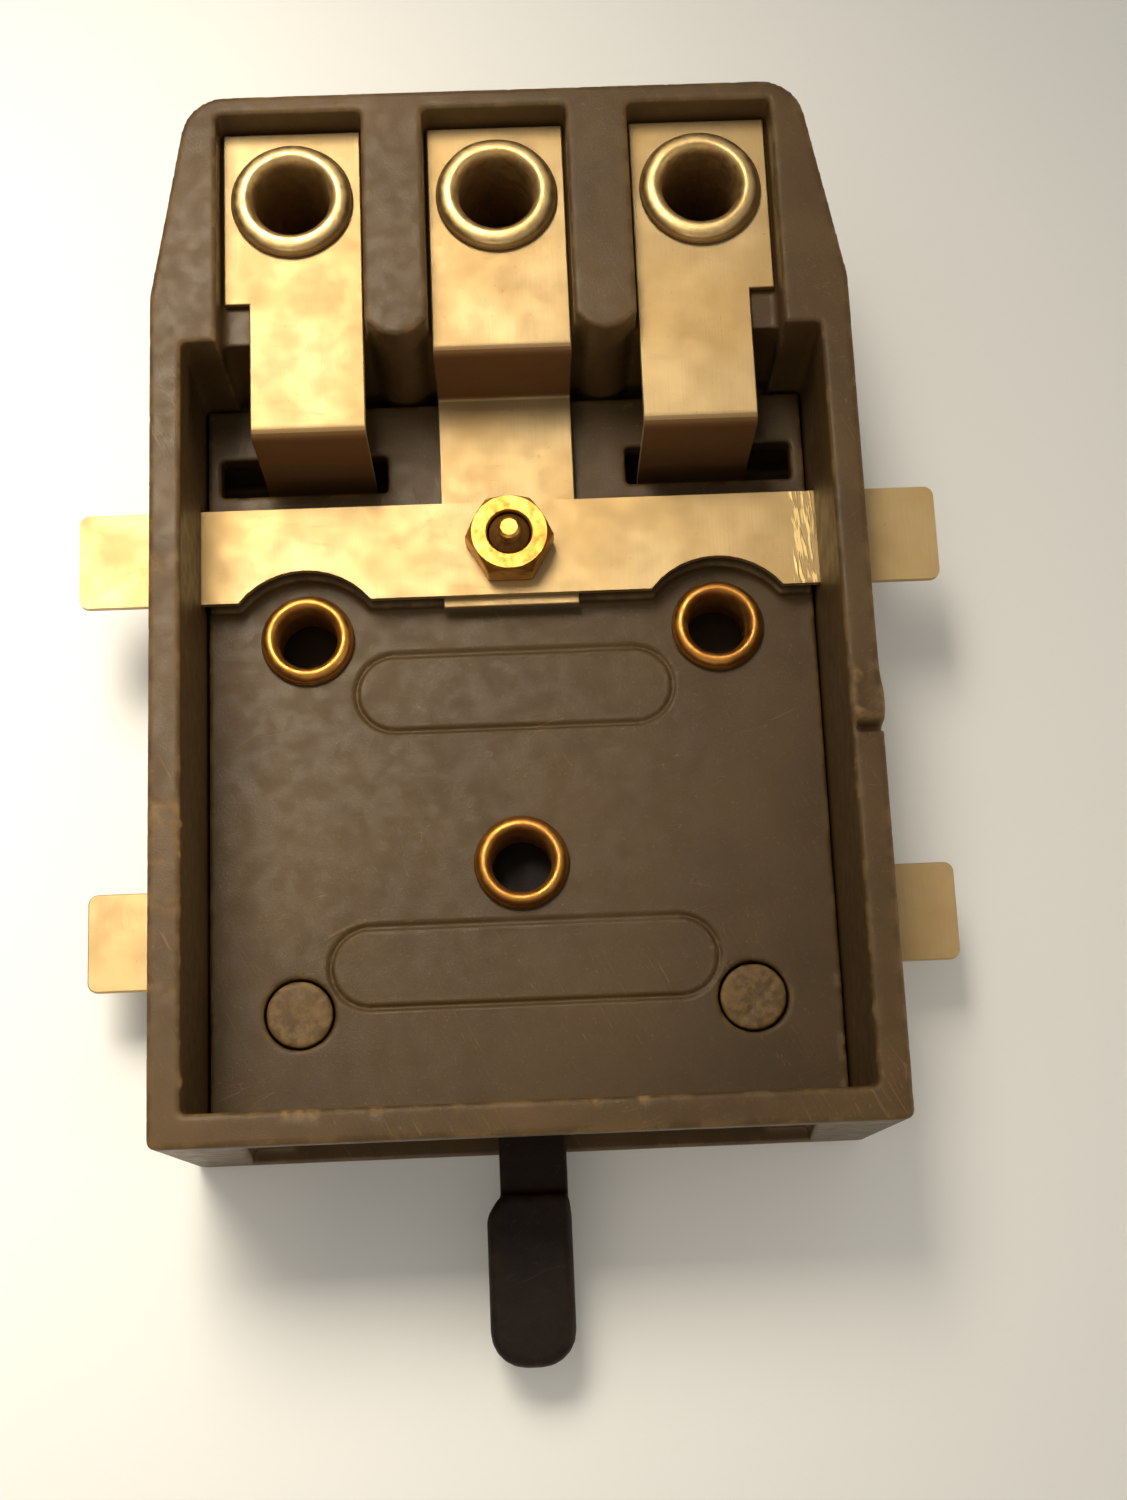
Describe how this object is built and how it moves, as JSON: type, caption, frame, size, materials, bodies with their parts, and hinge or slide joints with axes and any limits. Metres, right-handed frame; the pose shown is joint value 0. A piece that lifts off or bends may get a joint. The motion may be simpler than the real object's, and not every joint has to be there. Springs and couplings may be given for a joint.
{
  "type": "model railway lever controller",
  "caption": "Low plastic box seen from its open underside, with brass terminal strips, bus bars with side tabs, rivets, a hex nut and a swinging lever.",
  "frame": {"origin": "centre of the deck's flat outer face", "axes": "+X across the case, +Y from the lever towards the three terminals, +Z out of the open underside; the part lies on its deck, and is turned over in use"},
  "size_m": [0.0534, 0.0763, 0.0185],
  "materials": {
    "case_plastic": "moulded satin, scuffed rim",
    "plate_plastic": "moulded matt",
    "lever_plastic": "moulded satin, handled",
    "sheet_brass": "rolled sheet, fine scratches",
    "socket_brass": "polished by plugs",
    "rivet_brass": "coppery, rolled",
    "nut_brass": "turned, worn corners",
    "spring_steel": "plain"
  },
  "bodies": {
    "housing": {"case": "case_plastic", "base_plate": "plate_plastic", "left_terminal_strip": "sheet_brass", "centre_terminal_strip": "sheet_brass", "right_terminal_strip": "sheet_brass", "left_terminal_socket": "socket_brass", "centre_terminal_socket": "socket_brass", "right_terminal_socket": "socket_brass", "upper_bus_bar": "sheet_brass", "lower_bus_bar": "sheet_brass", "left_contact_rivet": "rivet_brass", "right_contact_rivet": "rivet_brass", "bus_rivet": "rivet_brass", "pivot_screw": "nut_brass", "hex_nut": "nut_brass", "plain_washer": "nut_brass", "spring_washer": "spring_steel"},
    "lever_arm": {"lever": "lever_plastic", "wiper_contact": "sheet_brass", "wiper_rivet": "nut_brass"}
  },
  "joints": [
    {"name": "lever_swing", "type": "hinge", "parent": "housing", "child": "lever_arm", "pos_m": [0, 0.00509, 0.0035], "axis": [0, 0, 1], "range_deg": [-16, 16]}
  ]
}
